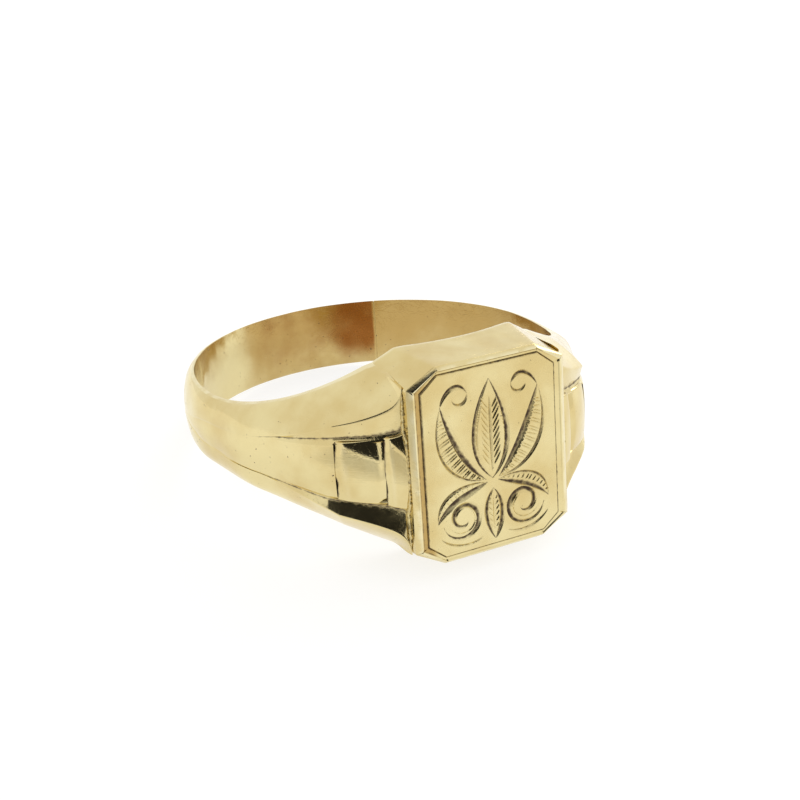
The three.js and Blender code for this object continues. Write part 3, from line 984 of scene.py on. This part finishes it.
def surface_at_head(height):
    """Outer radius of the shoulder and its tier at the head, at the given heights."""
    edge = edge_height(float(end_angle(FINGER_RADIUS)))
    half = soften(half_section(HEAD_ANGLE, edge, 0.0, False, UPPER_SCOOP), 2)
    order = np.argsort(half[:, 1])
    radius = np.interp(np.abs(height), half[order, 1], half[order, 0])
    on_tier = 1 - smoothstep((np.abs(height) - rib_height(HEAD_ANGLE) + 0.2) / 0.3)
    return radius + 0.12 * on_tier


def solder_bead(word, side):
    """A lumpy run of solder in the corner between the shoulder's end and the head's side."""
    heights = np.linspace(-BEAD_REACH, BEAD_REACH, 240)
    rng = np.random.default_rng(7)
    lumps = np.interp(heights, np.linspace(-4.2, 4.2, 60), rng.uniform(-1, 1, 60))
    wobble = np.interp(heights, np.linspace(-4.2, 4.2, 90), rng.uniform(-1, 1, 90))
    forward_place = np.sqrt(surface_at_head(heights) ** 2 - HEAD_HALF_WIDTH**2)
    size = BEAD_SIZE + 0.03 * lumps
    size = size * (0.35 + 0.65 * smoothstep((BEAD_REACH - np.abs(heights)) / 0.4))
    loops = []
    sides = 16
    around = np.linspace(0, 2 * math.pi, sides + 1)[:-1]
    for step, height in enumerate(heights):
        centre = forward_place[step] - 0.02 + 0.03 * wobble[step]
        ring_forward = centre + size[step] * np.cos(around) * 1.25
        ring_across = HEAD_HALF_WIDTH + 0.02 + size[step] * 0.72 * np.sin(around)
        loops.append(np.column_stack([ring_forward, side * ring_across, np.full(sides, height)]))
    points = np.concatenate(loops)
    points = points + np.random.default_rng(11).normal(0, 0.006, points.shape)
    faces = side_faces(len(loops), sides)
    faces.append(tuple(range(sides)))
    start = (len(loops) - 1) * sides
    faces.append(tuple(reversed(range(start, start + sides))))
    marks = {"dirt_and_shade": np.repeat(0.35 + 0.25 * wobble, sides)}
    make_piece(f"bead_{word}", points, face_out(points, faces), f"solder_bead_{word}",
               solder_material, marks)


for word, side in (("left", -1), ("right", 1)):
    solder_bead(word, side)

# ---------------------------------------------------------------- floor, light and camera

STUDIO_WHITE = (1.0, 0.995, 0.985, 1.0)


def floor():
    """A plain white table top, nearly as bright as the studio round it."""
    mesh = bpy.data.meshes.new("floor")
    size = 0.3
    corners = [(-size, -size, 0), (size, -size, 0), (size, size, 0), (-size, size, 0)]
    mesh.from_pydata(corners, [], [(0, 1, 2, 3)])
    n = Nodes("floor")
    speckle = n.ramp(n.noise((0.08, 0.08, 0.08), detail=3.0), 0.3, 0.7)
    colour = n.mix(speckle, (0.25, 0.25, 0.247, 1.0), (0.27, 0.27, 0.267, 1.0))
    shader = n.add("ShaderNodeBsdfPrincipled", Base_Color=colour, Roughness=0.75,
                   Emission_Color=STUDIO_WHITE, Emission_Strength=0.76)
    n.add("ShaderNodeOutputMaterial", Surface=shader.outputs[0])
    mesh.materials.append(n.material)
    table = bpy.data.objects.new("floor", mesh)
    table.location.z = -0.00002
    bpy.context.scene.collection.objects.link(table)


floor()


def world_light(strength):
    """Even light from all round."""
    world = bpy.data.worlds.new("studio")
    world.use_nodes = True
    background = world.node_tree.nodes["Background"]
    background.inputs["Color"].default_value = STUDIO_WHITE
    background.inputs["Strength"].default_value = strength
    bpy.context.scene.world = world


world_light(1.0)


def direction(azimuth, elevation):
    """Unit vector towards these angles, in degrees, in the world."""
    a, e = math.radians(azimuth), math.radians(elevation)
    return Vector((math.cos(a) * math.cos(e), math.sin(a) * math.cos(e), math.sin(e)))


def soft_box(name, azimuth, elevation, distance, size, power):
    """A soft rectangular lamp that faces the ring."""
    light = bpy.data.lights.new(name, "AREA")
    light.shape = "RECTANGLE"
    light.size, light.size_y = size
    light.energy = power
    lamp = bpy.data.objects.new(name, light)
    away = direction(azimuth, elevation)
    lamp.location = away * distance
    lamp.rotation_mode = "QUATERNION"
    lamp.rotation_quaternion = away.to_track_quat("Z", "Y")
    bpy.context.scene.collection.objects.link(lamp)


soft_box("back_right", 120, 30, 0.4, (0.3, 0.2), 0.5)


def reflected_sheet(name, points, faces, brightness):
    """A sheet of this brightness that is seen in reflections and nowhere else."""
    mesh = bpy.data.meshes.new(name)
    mesh.from_pydata(points, [], faces)
    material = bpy.data.materials.new(name)
    material.use_nodes = True
    shader = material.node_tree.nodes["Principled BSDF"]
    shader.inputs["Base Color"].default_value = (0.004, 0.004, 0.004, 1.0)
    shader.inputs["Roughness"].default_value = 0.9
    shader.inputs["Emission Color"].default_value = (1.0, 1.0, 1.0, 1.0)
    shader.inputs["Emission Strength"].default_value = brightness
    mesh.materials.append(material)
    card = bpy.data.objects.new(name, mesh)
    card.visible_camera = False
    card.visible_shadow = False
    card.visible_diffuse = False
    bpy.context.scene.collection.objects.link(card)


def screen(name, turns, heights, distance, brightness):
    """A curved screen round the ring, at these azimuths and elevations, that only its reflections see."""
    count = 16
    points, faces = [], []
    for row in range(count + 1):
        for column in range(count + 1):
            azimuth = turns[0] + (turns[1] - turns[0]) * column / count
            elevation = heights[0] + (heights[1] - heights[0]) * row / count
            points.append(direction(azimuth, elevation) * distance)
    for row in range(count):
        for column in range(count):
            a = row * (count + 1) + column
            faces.append((a, a + 1, a + count + 2, a + count + 1))
    reflected_sheet(name, points, faces, brightness)


# The dark front opening of a white light tent, and the dimmer cloth above it.
screen("tent_opening", (-78, 2), (3.5, 60), 0.24, 0.0)
screen("tent_front_top", (-95, 35), (60, 80), 0.235, 0.05)
screen("tent_top", (-180, 180), (72, 90), 0.23, 0.7)


def low_card(number, turns, near, far, brightness):
    """One layer of a grey card lying in front of the ring, that only the ring's reflections see."""
    points = []
    level = Vector((0, 0, 0.00005 * (number + 1)))
    steps = 8
    for azimuth in np.linspace(turns[0], turns[1], steps + 1):
        outward = direction(azimuth, 0)
        points += [outward * near + level, outward * far + level]
    faces = [(2 * k, 2 * k + 1, 2 * k + 3, 2 * k + 2) for k in range(steps)]
    reflected_sheet(f"low_card_{number}", points, faces, brightness)


# Each layer is smaller and darker than the one below it, so the card has soft edges.
for number in range(6):
    step = 2.5 * number
    low_card(number, (-78 + step, -4 - step), 0.024 + 0.0016 * number, 0.22, 0.93 - 0.05 * number)

# The camera's place in the ring's frame, in mm, and the direction that is up in the picture there.
CAMERA_PLACE = (67.93, -31.95, 26.66)
CAMERA_UP = (math.sin(math.radians(8.92)), 0.0, math.cos(math.radians(8.92)))


def camera():
    """The camera, looking at the middle of the finger hole."""
    data = bpy.data.cameras.new("camera")
    data.lens = 68.46
    data.sensor_width = 36.0
    data.shift_x = 0.0319
    data.shift_y = -0.0195
    data.clip_start = 0.001
    data.clip_end = 10.0
    eye = Vector(to_world([CAMERA_PLACE])[0])
    back = (eye - Vector(hole_centre)).normalized()
    up = Vector(to_world([CAMERA_UP])[0]) - Vector(hole_centre)
    right = up.cross(back).normalized()
    true_up = back.cross(right)
    turn = Matrix((right, true_up, back)).transposed().to_4x4()
    eye_object = bpy.data.objects.new("camera", data)
    eye_object.matrix_world = Matrix.Translation(eye) @ turn
    bpy.context.scene.collection.objects.link(eye_object)
    bpy.context.scene.camera = eye_object


camera()

bpy.context.scene.view_settings.view_transform = "Standard"
